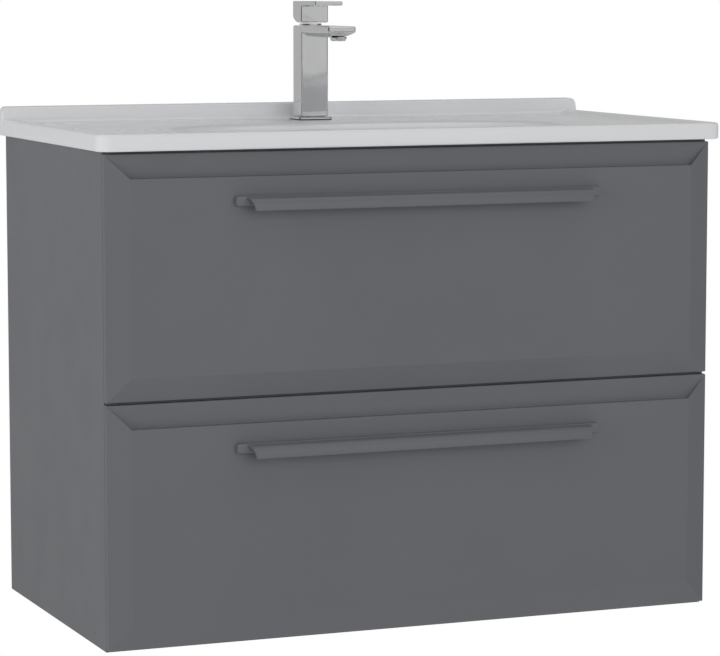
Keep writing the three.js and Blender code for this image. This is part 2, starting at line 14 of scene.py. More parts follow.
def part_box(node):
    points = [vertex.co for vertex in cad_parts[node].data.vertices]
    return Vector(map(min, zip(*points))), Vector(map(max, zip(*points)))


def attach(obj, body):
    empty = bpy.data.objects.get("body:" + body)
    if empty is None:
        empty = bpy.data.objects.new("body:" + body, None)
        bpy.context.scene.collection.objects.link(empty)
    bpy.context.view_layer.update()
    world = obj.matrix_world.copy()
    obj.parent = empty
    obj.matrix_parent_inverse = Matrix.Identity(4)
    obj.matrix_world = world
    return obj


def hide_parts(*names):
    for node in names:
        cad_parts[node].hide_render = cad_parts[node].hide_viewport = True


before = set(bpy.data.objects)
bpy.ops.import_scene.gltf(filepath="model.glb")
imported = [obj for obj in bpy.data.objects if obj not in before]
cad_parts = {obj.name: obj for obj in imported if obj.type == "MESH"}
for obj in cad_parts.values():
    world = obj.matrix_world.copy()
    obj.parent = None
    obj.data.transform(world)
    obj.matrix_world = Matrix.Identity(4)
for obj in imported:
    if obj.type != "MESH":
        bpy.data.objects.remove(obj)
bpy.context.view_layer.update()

MM = 0.001
SIDES = ("left", "right")
LEVELS = ("upper", "lower")

# The camera: its place in metres, its turn and tilt in degrees, and its lens in mm.
CAMERA_PLACE = (-1.443, -3.796, 0.287)
CAMERA_YAW = 22.06
CAMERA_PITCH = 6.49
LENS = 152.4
SENSOR_WIDTH = 36

# The stage: how far the floor and the dome reach, and the floor's height, in metres.
STAGE_REACH = 40.0
FLOOR_Z = -0.92

# Zones of the studio that are darker, or brighter where the last number is below zero:
# a direction, a spread in degrees and a depth.
ZONES = (
    ((-0.95, -0.3, 0.0), 50, 0.83),
    ((0.97, 0.12, 0.0), 44, 0.83),
    ((-0.5, 0.87, 0.0), 36, 0.14),
    ((0.0, 0.0, 1.0), 75, 0.45),
    ((0.25, -0.15, 0.95), 24, -3.0),
    ((0.2, 0.1, -0.97), 36, -1.4),
)
WORLD_LEVEL = 0.52
# Soft boxes, as a name, a position, a size and watts. They light, and no surface mirrors them.
SOFT_BOXES = (
    ("left_box", (-3.4, -0.9, 0.3), (2.6, 2.6), 61),
    ("front_box", (0.6, -4.2, 0.9), (3.0, 2.4), 42),
    ("right_box", (3.6, -0.5, 0.4), (2.6, 2.6), 16),
)
LIGHT_TARGET = (0, -0.2, 0)


# ---------------------------------------------------------------- camera, light and floor

def make_camera():
    """The viewing angle of a catalogue picture: from the front left, a little above."""
    data = bpy.data.cameras.new("camera")
    data.lens = LENS
    data.sensor_width = SENSOR_WIDTH
    data.clip_end = 60
    camera = bpy.data.objects.new("camera", data)
    camera.location = CAMERA_PLACE
    camera.rotation_euler = (math.pi / 2 - math.radians(CAMERA_PITCH), 0, -math.radians(CAMERA_YAW))
    bpy.context.scene.collection.objects.link(camera)
    bpy.context.scene.camera = camera


def area_light(name, position, size, watts):
    """A soft box that faces the object."""
    data = bpy.data.lights.new(name, "AREA")
    data.shape = "RECTANGLE"
    data.size, data.size_y = size
    data.energy = watts
    light = bpy.data.objects.new(name, data)
    light.location = position
    aim = Vector(LIGHT_TARGET) - Vector(position)
    light.rotation_euler = aim.to_track_quat("-Z", "Y").to_euler()
    light.visible_glossy = False
    bpy.context.scene.collection.objects.link(light)


def direction_zone(tree, direction, spread, depth):
    """A factor that goes to 1 - depth within 0.7 of the spread, in degrees, round a direction."""
    place = tree.nodes.new("ShaderNodeTexCoord")
    dot = tree.nodes.new("ShaderNodeVectorMath")
    dot.operation = "DOT_PRODUCT"
    dot.inputs[1].default_value = Vector(direction).normalized()
    tree.links.new(place.outputs["Generated"], dot.inputs[0])
    ramp = tree.nodes.new("ShaderNodeMapRange")
    ramp.interpolation_type = "SMOOTHSTEP"
    ramp.inputs["From Min"].default_value = math.cos(math.radians(spread))
    ramp.inputs["From Max"].default_value = math.cos(math.radians(spread * 0.7))
    ramp.inputs["To Min"].default_value = 1.0
    ramp.inputs["To Max"].default_value = 1.0 - depth
    tree.links.new(dot.outputs["Value"], ramp.inputs["Value"])
    return ramp.outputs["Result"]


def times(tree, value, factor):
    """The product of a shader value and either another one or a number."""
    multiply = tree.nodes.new("ShaderNodeMath")
    multiply.operation = "MULTIPLY"
    tree.links.new(value, multiply.inputs[0])
    if isinstance(factor, float):
        multiply.inputs[1].default_value = factor
    else:
        tree.links.new(factor, multiply.inputs[1])
    return multiply.outputs["Value"]


def make_light():
    """A studio with dark flags at its sides and bright zones above and below, and soft boxes."""
    world = bpy.data.worlds.new("studio")
    world.use_nodes = True
    tree = world.node_tree
    level = direction_zone(tree, *ZONES[0])
    for zone in ZONES[1:]:
        level = times(tree, level, direction_zone(tree, *zone))
    strength = times(tree, level, WORLD_LEVEL)
    tree.nodes["Background"].inputs["Color"].default_value = (1, 1, 1, 1)
    tree.links.new(strength, tree.nodes["Background"].inputs["Strength"])
    bpy.context.scene.world = world
    for box in SOFT_BOXES:
        area_light(*box)


def make_stage():
    """A plain white floor and dome. They are seen by the camera and leave the light alone."""
    material = bpy.data.materials.new("stage_white")
    material.use_nodes = True
    shader = material.node_tree.nodes["Principled BSDF"]
    shader.inputs["Base Color"].default_value = (0, 0, 0, 1)
    shader.inputs["Specular IOR Level"].default_value = 0
    shader.inputs["Emission Color"].default_value = (1, 1, 1, 1)
    shader.inputs["Emission Strength"].default_value = 1
    bpy.ops.mesh.primitive_uv_sphere_add(segments=48, ring_count=24, radius=STAGE_REACH)
    dome = bpy.context.object
    dome.name = "dome"
    signs = ((-1, -1), (1, -1), (1, 1), (-1, 1))
    corners = [(x * STAGE_REACH, y * STAGE_REACH, FLOOR_Z) for x, y in signs]
    floor = new_object("floor", corners, [(0, 1, 2, 3)])
    for surface in (dome, floor):
        surface.data.materials.append(material)
        surface.visible_diffuse = False
        surface.visible_glossy = False
        surface.visible_transmission = False
        surface.visible_shadow = False


# ---------------------------------------------------------------- materials

class Surface:
    """A Principled material that is built up from procedural nodes."""

    def __init__(self, name, color, roughness, **inputs):
        self.material = bpy.data.materials.new(name)
        self.material.use_nodes = True
        self.nodes = self.material.node_tree.nodes
        self.links = self.material.node_tree.links
        self.shader = self.nodes["Principled BSDF"]
        self.color = color
        self.shader.inputs["Base Color"].default_value = (*color, 1)
        self.shader.inputs["Roughness"].default_value = roughness
        for socket, value in inputs.items():
            self.shader.inputs[socket.replace("_", " ")].default_value = value
        self.coordinates = self.nodes.new("ShaderNodeTexCoord").outputs["Object"]
        self.normal = None

    def noise(self, scale, stretch=(1, 1, 1), detail=3.0, rough=0.5):
        """Noise with features of about 1 / scale metres, stretched along an axis by a small factor."""
        mapping = self.nodes.new("ShaderNodeMapping")
        mapping.inputs["Scale"].default_value = stretch
        self.links.new(self.coordinates, mapping.inputs["Vector"])
        texture = self.nodes.new("ShaderNodeTexNoise")
        texture.inputs["Scale"].default_value = scale
        texture.inputs["Detail"].default_value = detail
        texture.inputs["Roughness"].default_value = rough
        self.links.new(mapping.outputs["Vector"], texture.inputs["Vector"])
        return texture.outputs["Fac"]

    def spread(self, value, low, high):
        """Maps the middle of a noise to the range from low to high."""
        node = self.nodes.new("ShaderNodeMapRange")
        node.inputs["From Min"].default_value = 0.3
        node.inputs["From Max"].default_value = 0.7
        node.inputs["To Min"].default_value = low
        node.inputs["To Max"].default_value = high
        self.links.new(value, node.inputs["Value"])
        return node.outputs["Result"]

    def vary_color(self, value, amount):
        """Shades the colour up and down by amount, as a share of it."""
        mix = self.nodes.new("ShaderNodeMix")
        mix.data_type = "RGBA"
        mix.inputs["A"].default_value = (*(c * (1 - amount) for c in self.color), 1)
        mix.inputs["B"].default_value = (*(min(1, c * (1 + amount)) for c in self.color), 1)
        self.links.new(self.spread(value, 0, 1), mix.inputs["Factor"])
        self.links.new(mix.outputs["Result"], self.shader.inputs["Base Color"])

    def vary_roughness(self, value, low, high):
        self.links.new(self.spread(value, low, high), self.shader.inputs["Roughness"])

    def bump(self, value, height, strength=1.0):
        """Adds relief of that height in metres on top of any relief before it."""
        node = self.nodes.new("ShaderNodeBump")
        node.inputs["Strength"].default_value = strength
        node.inputs["Distance"].default_value = height
        self.links.new(value, node.inputs["Height"])
        if self.normal:
            self.links.new(self.normal, node.inputs["Normal"])
        self.normal = node.outputs["Normal"]
        self.links.new(self.normal, self.shader.inputs["Normal"])


def lacquer(name, color, roughness):
    """Matt lacquer or powder coat: a fine orange peel, with faint clouds in tone and gloss."""
    s = Surface(name, color, roughness)
    s.vary_color(s.noise(5, detail=4), 0.02)
    s.vary_roughness(s.noise(14, detail=2), roughness - 0.04, roughness + 0.04)
    s.bump(s.noise(700, detail=2), 0.00006)
    s.bump(s.noise(45, detail=1), 0.00008)
    return s.material


def melamine(name, color, grain_axis):
    """Melamine-faced board, with the fine streaks of its print along one axis."""
    stretch = [1.0, 1.0, 1.0]
    stretch[grain_axis] = 0.03
    s = Surface(name, color, 0.5)
    s.vary_color(s.noise(260, stretch, detail=4), 0.05)
    s.vary_roughness(s.noise(60, stretch), 0.42, 0.58)
    s.bump(s.noise(900, stretch, detail=3), 0.00005)
    return s.material


def glaze():
    """Sanitary ceramic: a clear glaze with a slow ripple over a white body."""
    s = Surface("glazed_ceramic", (0.84, 0.85, 0.87), 0.2, Coat_Weight=0.5, Coat_Roughness=0.06)
    s.vary_color(s.noise(9, detail=3), 0.008)
    s.vary_roughness(s.noise(30, detail=2), 0.17, 0.23)
    s.bump(s.noise(10, detail=0), 0.00001)
    return s.material


def chrome_plate():
    """Polished chrome, with the faint wipe marks of a used tap."""
    s = Surface("chrome", (0.88, 0.882, 0.886), 0.1, Metallic=1.0)
    s.vary_color(s.noise(60, (1, 1, 0.25), detail=3), 0.02)
    s.vary_roughness(s.noise(130, (1, 1, 0.3), detail=4), 0.05, 0.12)
    s.bump(s.noise(40, detail=1), 0.00002)
    return s.material


def zinc_steel():
    """Rolled steel with a bright zinc coat: fine lines along Y and soft spangles."""
    s = Surface("zinc_steel", (0.56, 0.57, 0.585), 0.35, Metallic=1.0)
    s.vary_color(s.noise(180, detail=5, rough=0.7), 0.12)
    s.vary_roughness(s.noise(900, (1, 0.02, 1), detail=3), 0.26, 0.44)
    s.bump(s.noise(1500, (1, 0.02, 1), detail=2), 0.00003)
    return s.material


def moulded(name, color, roughness):
    """Injection-moulded plastic with a fine grain."""
    s = Surface(name, color, roughness, Specular_IOR_Level=0.45)
    s.vary_color(s.noise(35, detail=3), 0.02)
    s.vary_roughness(s.noise(80, detail=2), roughness - 0.05, roughness + 0.06)
    s.bump(s.noise(1300, detail=2), 0.00004)
    return s.material


GREY = (0.150, 0.154, 0.166)
BOARD = (0.56, 0.57, 0.58)
MATERIALS = {
    "grey_lacquer": lacquer("grey_lacquer", GREY, 0.5),
    "handle_paint": lacquer("handle_paint", GREY, 0.42),
    "melamine_board": melamine("melamine_board", BOARD, 0),
    "glazed_ceramic": glaze(),
    "chrome": chrome_plate(),
    "zinc_steel": zinc_steel(),
    "white_plastic": moulded("white_plastic", (0.79, 0.79, 0.78), 0.32),
    "grey_plastic": moulded("grey_plastic", (0.24, 0.245, 0.255), 0.45),
    "melamine_board_along_y": melamine("melamine_board_along_y", BOARD, 1),
    # The gasket under the tap's base plate is real, but its near-black colour also paints the contact
    # shadow under the plate.
    "seal_rubber_and_painted_shadow": moulded("seal_rubber_and_painted_shadow", (0.02, 0.02, 0.021), 0.7),
}


# ---------------------------------------------------------------- mesh helpers

def new_object(name, corners, faces):
    mesh = bpy.data.meshes.new(name)
    mesh.from_pydata([tuple(c) for c in corners], [], faces)
    mesh.update()
    piece = bpy.data.objects.new(name, mesh)
    bpy.context.scene.collection.objects.link(piece)
    return piece


def shade(piece, angle=32):
    """Smooth shading that stays crisp at edges sharper than angle, in degrees."""
    piece.data.shade_smooth()
    piece.data.set_sharp_from_angle(angle=math.radians(angle))


def ease_edges(piece, width, segments=3):
    """Rounds the edges that are sharper than 25 degrees by width, in metres."""
    bevel = piece.modifiers.new("eased_edges", "BEVEL")
    bevel.width = width
    bevel.segments = segments
    bevel.limit_method = "ANGLE"
    bevel.angle_limit = math.radians(25)
    piece.modifiers.new("even_faces", "WEIGHTED_NORMAL").keep_sharp = True


def bake_modifiers(piece):
    """Replaces the mesh by what its modifiers make of it."""
    bpy.context.view_layer.update()
    evaluated = piece.evaluated_get(bpy.context.evaluated_depsgraph_get())
    mesh = bpy.data.meshes.new_from_object(evaluated)
    piece.modifiers.clear()
    piece.data = mesh


def soften(piece, width, segments=3):
    """Rounds the edges by width for good, and shades the piece."""
    ease_edges(piece, width, segments)
    bake_modifiers(piece)
    shade(piece, 40)


def subtract(piece, *cutters):
    """Cuts the cutters out of the piece and removes them."""
    for cutter in cutters:
        boolean = piece.modifiers.new("cut", "BOOLEAN")
        boolean.operation = "DIFFERENCE"
        boolean.solver = "EXACT"
        boolean.object = cutter
    bake_modifiers(piece)
    for cutter in cutters:
        bpy.data.objects.remove(cutter)


def outward(piece, merge=0.0):
    """Joins corners that are closer than merge, in metres, and turns all the faces outwards."""
    shape = bmesh.new()
    shape.from_mesh(piece.data)
    if merge:
        bmesh.ops.remove_doubles(shape, verts=shape.verts, dist=merge)
    bmesh.ops.recalc_face_normals(shape, faces=shape.faces)
    shape.to_mesh(piece.data)
    shape.free()


def dress(piece, look):
    piece.data.materials.clear()
    piece.data.materials.append(MATERIALS[look])


def finish(piece, body, slot, *nodes):
    """Gives the piece the material of its slot and its body, and lets it stand for its CAD nodes."""
    dress(piece, slot)
    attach(piece, body)
    if nodes:
        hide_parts(*nodes)
    return piece


# Grip grooves are a count, a depth, and the two heights between which they lie.
NO_RIBS = (0, 0.0, 0.0, 0.0)


def lathe(name, profile, turns=96, ribs=NO_RIBS):
    """A profile of (radius, height) in metres, turned about Z. Off the axis it closes on itself."""
    count, depth, low, high = ribs
    on_axis = profile[0][0] == 0
    corners, faces = [], []
    for i in range(turns):
        angle = 2 * math.pi * i / turns
        for radius, z in profile:
            ribbed = count and low <= z <= high and radius > 0
            groove = depth * (0.5 - 0.5 * math.cos(count * angle)) ** 3
            r = radius - groove if ribbed else radius
            corners.append((r * math.cos(angle), r * math.sin(angle), z))
    n = len(profile)
    steps = n - 1 if on_axis else n
    for i in range(turns):
        a, b = i * n, ((i + 1) % turns) * n
        for j in range(steps):
            k = (j + 1) % n
            faces.append((a + j, b + j, b + k, a + k))
    piece = new_object(name, corners, faces)
    outward(piece, merge=0.001 * MM)
    return piece


def place(piece, matrix):
    piece.data.transform(matrix)
    return piece


def turned_piece(name, profile, matrix, body, slot, *nodes, turns=96, ribs=NO_RIBS):
    """A lathe piece in its place, shaded and finished."""
    piece = place(lathe(name, profile, turns, ribs), matrix)
    shade(piece)
    return finish(piece, body, slot, *nodes)


def loft(name, rings):
    """A skin through rings of equal count, with a cap at each end."""
    n = len(rings[0])
    corners = [point for ring in rings for point in ring]
    faces = []
    for r in range(len(rings) - 1):
        a, b = r * n, (r + 1) * n
        faces += [(a + i, a + (i + 1) % n, b + (i + 1) % n, b + i) for i in range(n)]
    faces += [tuple(range(n)), tuple(range((len(rings) - 1) * n, len(rings) * n))]
    piece = new_object(name, corners, faces)
    outward(piece)
    return piece


def rounded_ring(x0, x1, y0, y1, radius, z, steps=8):
    """A level ring round a rectangle with rounded corners."""
    points = []
    centres = ((x1 - radius, y1 - radius), (x0 + radius, y1 - radius),
               (x0 + radius, y0 + radius), (x1 - radius, y0 + radius))
    for corner, (cx, cy) in enumerate(centres):
        for i in range(steps + 1):
            angle = (corner + i / steps) * math.pi / 2
            points.append((cx + radius * math.cos(angle), cy + radius * math.sin(angle), z))
    return points


def extrude_x(name, outline, x0, x1):
    """An outline in (y, z) carried from x0 to x1."""
    return loft(name, [[(x, y, z) for y, z in outline] for x in (x0, x1)])


def smooth_levels(levels, steps=6):
    """Catmull-Rom points through rows of numbers."""
    rows = [np.array(level, float) for level in levels]
    rows = [2 * rows[0] - rows[1], *rows, 2 * rows[-1] - rows[-2]]
    result = []
    for a, b, c, d in zip(rows, rows[1:], rows[2:], rows[3:]):
        for i in range(steps):
            t = i / steps
            result.append(0.5 * (2 * b + (c - a) * t + (2 * a - 5 * b + 4 * c - d) * t ** 2
                                 + (3 * b - a - 3 * c + d) * t ** 3))
    return [*result, rows[-2]]


# ---------------------------------------------------------------- basin

BASIN_LOW, BASIN_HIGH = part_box("basin")
DECK_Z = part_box("tap_base_plate")[0].z - 0.3 * MM
RIM_Z = DECK_Z + 5 * MM
RIM_LOW_Z = DECK_Z - 15.7 * MM
HALF_X = BASIN_HIGH.x
FRONT_Y = BASIN_LOW.y
DEPTH_Y = -FRONT_Y
DRAIN_Y = (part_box("drain_flange")[0].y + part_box("drain_flange")[1].y) / 2
TAP_Y = (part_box("tap_cartridge")[0].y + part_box("tap_cartridge")[1].y) / 2
BOWL_Y = -269 * MM
BOWL_POWER = 2.5
ARRIS = 4 * MM
PLAN_CORNER = 14 * MM
REAR_CORNER = PLAN_CORNER * 0.6
# The rim: the width of its flat lip, and of the slope from there down to the deck.
LIP, LIP_SLOPE = 13 * MM, 20 * MM
# How widely the slopes blend where they meet, and the deck and the upstand.
SLOPE_BLEND = 14 * MM
UPSTAND_BLEND = 2 * MM
FRAME_INSET = 40 * MM
UNDER_ARRIS = 2.5 * MM
# The upstand: its depth at the top before the arris, its lean in degrees and the cove at its foot.
UPSTAND_DEPTH = 17.5 * MM
UPSTAND_LEAN = 80
COVE = 8 * MM
UPSTAND_END_ARRIS = 8 * MM


def arris_steps(radius, steps=5):
    """Distances from an edge that are even steps round its arris."""
    return [radius * (1 - math.cos(math.pi / 2 * i / steps)) for i in range(steps + 1)]


def upstand_profile():
    """(distance from the wall, height) down the front of the upstand: arris, face, cove, deck."""
    lean = math.radians(UPSTAND_LEAN)
    points = []
    for i in range(6):
        angle = lean * i / 5
        points.append((UPSTAND_DEPTH + ARRIS * math.sin(angle),
                       BASIN_HIGH.z - ARRIS + ARRIS * math.cos(angle)))
    face_x, face_z = points[-1]
    foot_z = DECK_Z + COVE * (1 - math.cos(lean))
    foot_x = face_x + (face_z - foot_z) / math.tan(lean)
    for i in range(6):
        angle = lean * (1 - i / 5)
        points.append((foot_x + COVE * (math.sin(lean) - math.sin(angle)),
                       DECK_Z + COVE * (1 - math.cos(angle))))
    return points


UPSTAND_DISTANCES, UPSTAND_HEIGHTS = zip(*upstand_profile())


def arris_drop(distance, radius=ARRIS):
    """How far a rounded edge lies below its flat at that distance from the edge."""
    if distance >= radius:
        return 0.0
    return radius - math.sqrt(max(0.0, radius ** 2 - (radius - distance) ** 2))


def smooth_min(a, b, k):
    """The smaller of two values, blended where they differ by less than k."""
    h = max(k - abs(a - b), 0) / k
    return min(a, b) - h * h * k / 4


def basin_top(x, y):
    """Height of the basin's rim, dished deck and upstand, without the bowl."""
    side, front, back = HALF_X - abs(x), y - FRONT_Y, -y
    reach = smooth_min(side, front, SLOPE_BLEND)
    t = min(1.0, max(0.0, (reach - LIP) / LIP_SLOPE))
    deck = DECK_Z + (RIM_Z - DECK_Z) * (1 - t * t * (3 - 2 * t))
    wall = float(np.interp(back, UPSTAND_DISTANCES, UPSTAND_HEIGHTS))
    wall = min(wall, BASIN_HIGH.z - arris_drop(side, UPSTAND_END_ARRIS))
    return -smooth_min(-deck, -wall, UPSTAND_BLEND) - arris_drop(min(side, front, back))


def plan_point(x, y):
    """Rounds the four vertical corners of the rim by pulling the corner squares into quadrants."""
    dx, dy = HALF_X - abs(x), min(y - FRONT_Y, -y)
    r = PLAN_CORNER if y < FRONT_Y / 2 else REAR_CORNER
    u, v = r - dx, r - dy
    if u <= 0 or v <= 0:
        return x, y
    reach = max(u, v)
    angle = math.pi / 4 * (v / u if u >= v else 2 - u / v)
    cx = math.copysign(HALF_X - r, x)
    cy, way = (FRONT_Y + r, -1) if y < FRONT_Y / 2 else (-r, 1)
    return cx + math.copysign(reach * math.cos(angle), x), cy + way * reach * math.sin(angle)


def grid_lines():
    """The X and Y lines of the deck's grid: close at arrises and slopes, wide elsewhere."""
    near = arris_steps(ARRIS) + [6 * MM, 9 * MM]
    near += [LIP + LIP_SLOPE * i / 8 for i in range(9)] + [FRAME_INSET]
    xs = [-HALF_X + d for d in near]
    inner = np.linspace(-HALF_X + FRAME_INSET, HALF_X - FRAME_INSET, 97)[1:-1]
    xs = xs + [float(x) for x in inner] + [-x for x in reversed(xs)]
    back = arris_steps(ARRIS) + [8 * MM, 12 * MM, *UPSTAND_DISTANCES, FRAME_INSET]
    ys = [FRONT_Y + d for d in near]
    middle = np.linspace(FRONT_Y + FRAME_INSET, -FRAME_INSET, 49)[1:-1]
    ys = ys + [float(y) for y in middle] + [-d for d in reversed(back)]
    return xs, ys, len(near) - 1, len(back) - 1


def bowl_direction(x, y, half_x, half_y, centre_y):
    """The point of a bowl oval in the direction of (x, y)."""
    dx, dy = x, y - BOWL_Y
    scale = ((abs(dx) / half_x) ** BOWL_POWER + (abs(dy) / half_y) ** BOWL_POWER) ** (-1 / BOWL_POWER)
    return dx * scale, centre_y + dy * scale


# Height above the deck, half width and half depth, from the edge of the bowl to its floor, in mm.
BOWL_LEVELS = (
    (0, 271, 132), (-0.7, 266.5, 127.5), (-3.5, 260.8, 121.8), (-10, 256, 117.3), (-21, 252, 114),
    (-38, 245.5, 109), (-55, 238, 103.5), (-70, 227.5, 97), (-85, 214, 89), (-97, 198, 80.8),
    (-107, 178, 71), (-115, 154, 62), (-120, 130, 53.5), (-124.5, 102, 45.5), (-127.3, 80, 41),
    (-129.2, 48, 34), (-129.5, 30, 26),
)
# The same for the outside of the bowl.
SHELL_LEVELS = (
    (-15.7, 276, 137), (-18, 266, 128), (-30, 259, 121), (-55, 248, 113.5), (-87, 224, 99),
    (-111, 188, 81), (-127, 138, 62), (-136, 86, 49), (-139.5, 48, 42), (-139.5, 28, 28),
)


def bowl_centre(height):
    """Y of the bowl's centre at a height in mm. It moves to the drain from 60 to 120 mm down."""
    sink = min(1.0, max(0.0, (-height - 60) / 60))
    return BOWL_Y + (DRAIN_Y - BOWL_Y) * sink * sink * (3 - 2 * sink)


def bowl_rings(points, levels):
    """Oval rings at the levels, with one point for each of the given points."""
    rings = []
    for height, half_x, half_y in smooth_levels(levels):
        centre = bowl_centre(height)
        rings.append([(*bowl_direction(x, y, half_x * MM, half_y * MM, centre), DECK_Z + height * MM)
                      for x, y, _ in points])
    return rings


class Skin:
    """The corners and faces of one mesh, which grows ring by ring."""

    def __init__(self):
        self.corners = []
        self.faces = []

    def points(self, loop):
        return [self.corners[k] for k in loop]

    def stitch(self, loop, rings):
        """Joins rings of points to a loop of corner numbers, one after another. Gives the last loop."""
        n = len(loop)
        for ring in rings:
            start = len(self.corners)
            self.corners.extend(ring)
            new = list(range(start, start + n))
            self.faces.extend((loop[k], loop[(k + 1) % n], new[(k + 1) % n], new[k]) for k in range(n))
            loop = new
        return loop

    def close(self, loop):
        self.faces.append(tuple(loop))


def grid_loop(index, i0, i1, j0, j1):
    """The corner numbers once round a rectangle of the grid."""
    path = [(i, j0) for i in range(i0, i1)] + [(i1, j) for j in range(j0, j1)]
    path += [(i, j1) for i in range(i1, i0, -1)] + [(i0, j) for j in range(j1, j0, -1)]
    return [index[p] for p in path]


def add_deck(skin):
    """Adds the deck as a grid with a hole for the bowl. Gives the loops of the hole and the edge."""
    xs, ys, inset, inset_back = grid_lines()
    last_i, last_j = len(xs) - 1, len(ys) - 1
    i0, i1, j0, j1 = inset, last_i - inset, inset, last_j - inset_back
    index = {}
    for j, y in enumerate(ys):
        for i, x in enumerate(xs):
            if i0 < i < i1 and j0 < j < j1:
                continue
            index[i, j] = len(skin.corners)
            skin.corners.append((*plan_point(x, y), basin_top(x, y)))
    for j in range(last_j):
        for i in range(last_i):
            if i0 <= i < i1 and j0 <= j < j1:
                continue
            skin.faces.append((index[i, j], index[i + 1, j], index[i + 1, j + 1], index[i, j + 1]))
    return grid_loop(index, i0, i1, j0, j1), grid_loop(index, 0, last_i, 0, last_j)


def edge_rings(points):
    """Rings down the edge of the rim and round its lower arris, below the points of its upper arris."""
    rings = []
    for drop in (9 * MM, RIM_Z - ARRIS - RIM_LOW_Z - UNDER_ARRIS):
        level = RIM_Z - ARRIS - drop
        rings.append([(x, y, min(z, level)) for x, y, z in points])
    for i in range(1, 5):
        angle = math.pi / 8 * i
        inward = UNDER_ARRIS * (1 - math.cos(angle))
        z = RIM_LOW_Z + UNDER_ARRIS * (1 - math.sin(angle))
        shrink_x = 1 - inward / HALF_X
        shrink_y = 1 - 2 * inward / DEPTH_Y
        rings.append([(x * shrink_x, FRONT_Y / 2 + (y - FRONT_Y / 2) * shrink_y, z)
                      for x, y, _ in points])
    return rings


def basin_mesh():
    """The deck as a grid, the bowl as rings inside it, then the edge, underside and outer shell."""
    skin = Skin()
    hole, edge = add_deck(skin)
    skin.close(skin.stitch(hole, bowl_rings(skin.points(hole), BOWL_LEVELS)))
    underside = skin.stitch(edge, edge_rings(skin.points(edge)))
    skin.close(skin.stitch(underside, bowl_rings(skin.points(underside), SHELL_LEVELS)))
    return new_object("basin_body", skin.corners, skin.faces)


def overflow_placement():
    """The frame of the overflow ring: its own centre, facing forwards and up."""
    low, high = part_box("overflow_ring")
    tilt = math.atan2(11, 34)  # The slope of the bowl's rear wall.
    return Matrix.Translation((low + high) / 2) @ Matrix.Rotation(math.pi / 2 - tilt, 4, "X")


def overflow_duct():
    """The rib on the rear of the bowl that carries the overflow down."""
    half, thick = 22 * MM, 11 * MM
    rings = []
    for height, _, half_y in SHELL_LEVELS[1:6]:
        wall = bowl_centre(height) + half_y * MM - 4 * MM
        rings.append(rounded_ring(-half, half, wall, wall + thick, 5 * MM, DECK_Z + height * MM))
    return loft("overflow_duct", rings)


def basin_cutters():
    """The seat of the drain, the tap hole and the overflow hole."""
    drain = lathe("drain_cut", [(0, -0.03), (0.023, -0.03), (0.023, -0.003), (0.033, -0.003),
                                (0.033, 0.02), (0, 0.02)])
    place(drain, Matrix.Translation((0, DRAIN_Y, DECK_Z + BOWL_LEVELS[-1][0] * MM)))
    hole = lathe("tap_cut", [(0, -0.03), (0.0175, -0.03), (0.0175, 0.02), (0, 0.02)])
    place(hole, Matrix.Translation((0, TAP_Y, DECK_Z)))
    overflow = lathe("overflow_cut", [(0, -0.009), (0.008, -0.009), (0.008, 0.012), (0, 0.012)])
    place(overflow, overflow_placement())
    return drain, hole, overflow


def make_basin():
    basin = basin_mesh()
    outward(basin)
    subtract(basin, *basin_cutters())
    shade(basin, 35)
    finish(basin, "cabinet", "glazed_ceramic", "basin")
    duct = overflow_duct()
    shade(duct, 50)
    finish(duct, "cabinet", "glazed_ceramic")
    turned_piece("overflow_trim", [
        (0.008, -0.0012), (0.013, -0.0012), (0.013, 0), (0.0125, 0.0008), (0.0112, 0.0013),
        (0.0095, 0.0010), (0.0083, 0.0002), (0.008, -0.0006)],
        overflow_placement(), "cabinet", "chrome", "overflow_ring")


# ---------------------------------------------------------------- drain and trap

AT_DRAIN = Matrix.Translation((0, DRAIN_Y, 0))


def drain_flange():
    low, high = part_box("drain_flange")
    top, seat = high.z, high.z - 3.7 * MM
    turned_piece("drain_flange_fine", [
        (0.018, low.z), (0.0215, low.z), (0.0215, seat), (0.0315, seat), (0.0315, top - 0.0012),
        (0.0309, top - 0.0005), (0.0298, top), (0.0225, top), (0.0205, top - 0.0008),
        (0.0185, top - 0.0028), (0.018, top - 0.005)],
        AT_DRAIN, "cabinet", "chrome", "drain_flange")


def drain_plug():
    """A cap with a slightly domed top on a thin stem."""
    low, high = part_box("drain_plug")
    rim = high.z - 4.6 * MM
    radius, rise, spread = 25.5 * MM, 2.2 * MM, 1.2
    dome = [(radius * math.sin(a), high.z - rise * (1 - math.cos(a)) / (1 - math.cos(spread)))
            for a in np.linspace(spread, 0, 9)[:-1]]
    turned_piece("drain_plug_fine", [
        (0, low.z), (0.004, low.z), (0.004, rim), (0.0262, rim), (0.027, rim + 0.0007),
        (0.027, rim + 0.0018), (0.0264, rim + 0.0023), *dome, (0, high.z)],
        AT_DRAIN, "drain_plug", "chrome", "drain_plug")


def drain_nut():
    low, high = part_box("drain_nut")
    turned_piece("drain_nut_fine", [
        (0.0218, low.z), (0.0295, low.z), (0.0315, low.z + 0.0015), (0.0315, high.z - 0.0045),
        (0.0320, high.z - 0.0035), (0.0320, high.z), (0.0218, high.z)],
        AT_DRAIN, "cabinet", "zinc_steel", "drain_nut",
        turns=192, ribs=(24, 0.0014, low.z + 0.001, high.z - 0.0044))


def drain_tailpiece():
    low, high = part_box("drain_tailpiece")
    turned_piece("drain_tailpiece_fine", [
        (0.0135, low.z), (0.016, low.z), (0.016, high.z - 0.026), (0.0175, high.z - 0.0235),
        (0.0205, high.z - 0.0205), (0.0215, high.z - 0.018), (0.0215, high.z), (0.018, high.z),
        (0.018, high.z - 0.018), (0.0135, high.z - 0.026)],
        AT_DRAIN, "cabinet", "chrome", "drain_tailpiece")


